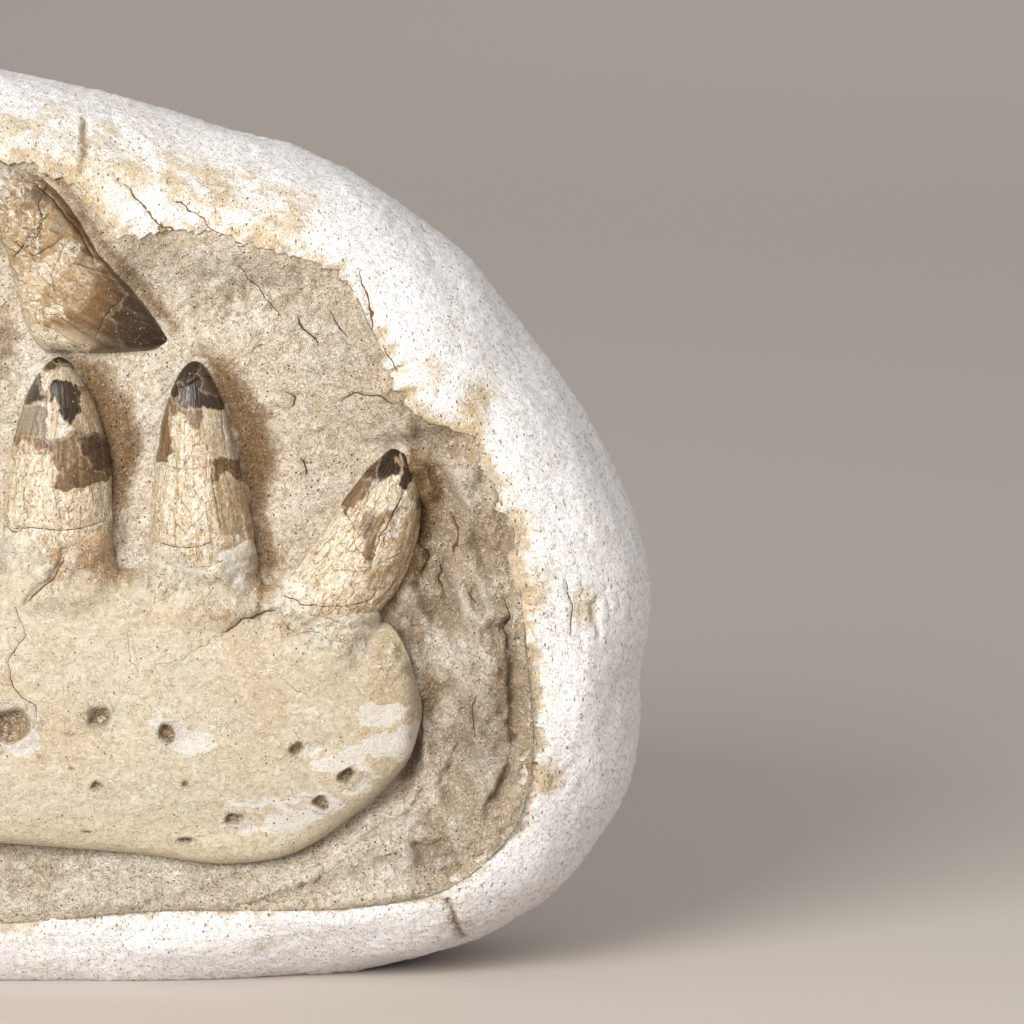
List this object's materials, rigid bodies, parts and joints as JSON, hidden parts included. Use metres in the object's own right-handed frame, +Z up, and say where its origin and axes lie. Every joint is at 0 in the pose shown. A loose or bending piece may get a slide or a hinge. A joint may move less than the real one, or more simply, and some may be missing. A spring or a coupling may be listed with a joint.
{
  "type": "fossil jaw in a plaster jacket",
  "caption": "Mosasaur lower jaw with its teeth and a loose rooted tooth, bedded in sandy matrix inside a rounded plaster jacket that stands on its flat foot.",
  "frame": {"origin": "middle of the bounding box's base, on the plane that the jacket's foot rests on", "axes": "+X along the jaw towards its tip, -Y out of the fossil's face, +Z up"},
  "size_m": [0.3608, 0.0962, 0.2339],
  "materials": {
    "plaster": "matte",
    "matrix": "matte",
    "bone": "matte",
    "enamel": "satin"
  },
  "bodies": {
    "root": {"plaster_jacket": "plaster", "matrix": "matrix", "jaw_bone": "bone", "tooth_1": "enamel", "tooth_2": "enamel", "tooth_3": "enamel", "tooth_4": "enamel", "tooth_5": "enamel", "tooth_6": "enamel", "tooth_7": "enamel", "loose_tooth": "enamel"}
  },
  "joints": []
}
